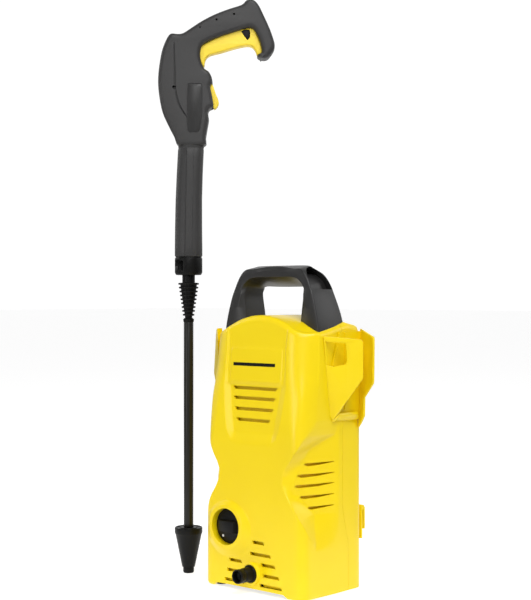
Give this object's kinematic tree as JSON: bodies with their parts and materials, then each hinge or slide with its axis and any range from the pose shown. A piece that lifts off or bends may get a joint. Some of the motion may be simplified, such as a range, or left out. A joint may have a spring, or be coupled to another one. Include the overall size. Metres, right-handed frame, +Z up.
{
  "type": "pressure washer",
  "caption": "Upright compact pressure washer with carry handle, rotary switch, side holders and a separate spray gun with lance and conical nozzle.",
  "frame": {"origin": "bottom centre of the bounding box, on the floor", "axes": "+Z up, -Y out of the front face with dial and outlet, +X towards the gun holster"},
  "size_m": [0.3246, 0.172, 0.8263],
  "materials": {
    "yellow_plastic": "fine satin moulding grain",
    "black_plastic": "fine satin moulding grain",
    "rubber": "matt",
    "steel": "zinc plated",
    "aluminium": "die cast",
    "brass": "machined",
    "stator_iron": "varnished laminations and windings"
  },
  "bodies": {
    "washer": {"rear_hook": "yellow_plastic", "front_shell": "yellow_plastic", "rear_shell": "yellow_plastic", "gun_holster": "yellow_plastic", "lance_holder": "yellow_plastic", "carry_handle": "black_plastic", "base_plate": "black_plastic", "switch_block": "black_plastic", "outlet_stub": "black_plastic", "outlet_collar": "black_plastic", "capacitor": "black_plastic", "pressure_switch": "black_plastic", "inlet_pipe": "black_plastic", "foot_pad_1": "rubber", "foot_pad_2": "rubber", "foot_pad_3": "rubber", "foot_pad_4": "rubber", "cable_gland": "rubber", "casing_screw_1": "steel", "casing_screw_2": "steel", "casing_screw_3": "steel", "casing_screw_4": "steel", "pump_bracket": "steel", "pump_body": "aluminium", "motor_housing": "aluminium", "end_bell": "aluminium", "pump_head": "brass", "inlet_coupling": "brass", "outlet_pipe": "brass", "stator": "stator_iron"},
    "dial": {"switch_dial": "black_plastic"},
    "motor": {"motor_rotor": "steel", "swash_plate": "steel", "cooling_fan": "black_plastic"},
    "piston_a": {"piston_1": "steel"},
    "piston_b": {"piston_2": "steel"},
    "piston_c": {"piston_3": "steel"},
    "strainer": {"inlet_strainer": "steel"},
    "gun": {"gun_shell_near": "black_plastic", "gun_shell_far": "black_plastic", "trigger_pin": "steel", "valve_body": "brass", "feed_pipe": "brass", "grip_tube": "black_plastic", "bayonet_collar": "black_plastic"},
    "trigger": {"gun_trigger": "yellow_plastic"},
    "lock": {"trigger_lock": "black_plastic"},
    "latch": {"hose_latch": "yellow_plastic"},
    "valve": {"valve_pin": "steel"},
    "lance": {"lance_neck": "black_plastic", "lance_tube": "black_plastic", "nozzle_cone": "black_plastic", "nozzle_tip": "black_plastic"},
    "jet": {"jet_rotor": "brass"}
  },
  "joints": [
    {"name": "dial_turn", "type": "hinge", "parent": "washer", "child": "dial", "pos_m": [-0.00866, -0.053, 0.085], "axis": [0, -1, 0], "range_deg": [0, 90]},
    {"name": "motor_spin", "type": "hinge", "parent": "washer", "child": "motor", "pos_m": [0.04634, 0.015, 0.2], "axis": [0, 0, 1], "continuous": true},
    {"name": "piston_a_stroke", "type": "slide", "parent": "washer", "child": "piston_a", "axis": [0, 0, 1], "range_m": [-0.003, 0], "stiffness_N_per_m": 1500, "springref_m": 0.002},
    {"name": "piston_b_stroke", "type": "slide", "parent": "washer", "child": "piston_b", "axis": [0, 0, 1], "range_m": [-0.003, 0], "stiffness_N_per_m": 1500, "springref_m": 0.002},
    {"name": "piston_c_stroke", "type": "slide", "parent": "washer", "child": "piston_c", "axis": [0, 0, 1], "range_m": [-0.003, 0], "stiffness_N_per_m": 1500, "springref_m": 0.002},
    {"name": "strainer_pull", "type": "slide", "parent": "washer", "child": "strainer", "axis": [0, 1, 0], "range_m": [0, 0.03]},
    {"name": "gun_lift", "type": "slide", "parent": "washer", "child": "gun", "axis": [0, 0, 1], "range_m": [0, 0.3]},
    {"name": "trigger_squeeze", "type": "hinge", "parent": "gun", "child": "trigger", "pos_m": [-0.10639, -0.00715, 0.745], "axis": [0.6691, -0.7431, 0], "range_deg": [0, 6], "stiffness_Nm_per_rad": 2, "springref_deg": -17.19},
    {"name": "lock_push", "type": "slide", "parent": "trigger", "child": "lock", "axis": [0.6691, -0.7431, 0], "range_m": [0, 0.002]},
    {"name": "latch_press", "type": "hinge", "parent": "gun", "child": "latch", "pos_m": [-0.09614, 0.00208, 0.695], "axis": [-0.6691, 0.7431, 0], "range_deg": [0, 4], "stiffness_Nm_per_rad": 0.8, "springref_deg": -17.19},
    {"name": "valve_lift", "type": "slide", "parent": "gun", "child": "valve", "axis": [0, 0, 1], "range_m": [-0.0016, 0]},
    {"name": "lance_turn", "type": "hinge", "parent": "gun", "child": "lance", "pos_m": [-0.12066, -0.02, 0.44], "axis": [0, 0, 1], "range_deg": [0, 60]},
    {"name": "jet_spin", "type": "hinge", "parent": "lance", "child": "jet", "pos_m": [-0.12066, -0.02, 0.03], "axis": [0, 0, 1], "continuous": true}
  ],
  "couplings": [
    {"joint": "valve_lift", "follows": "trigger_squeeze", "m_per_rad": -0.0143}
  ]
}
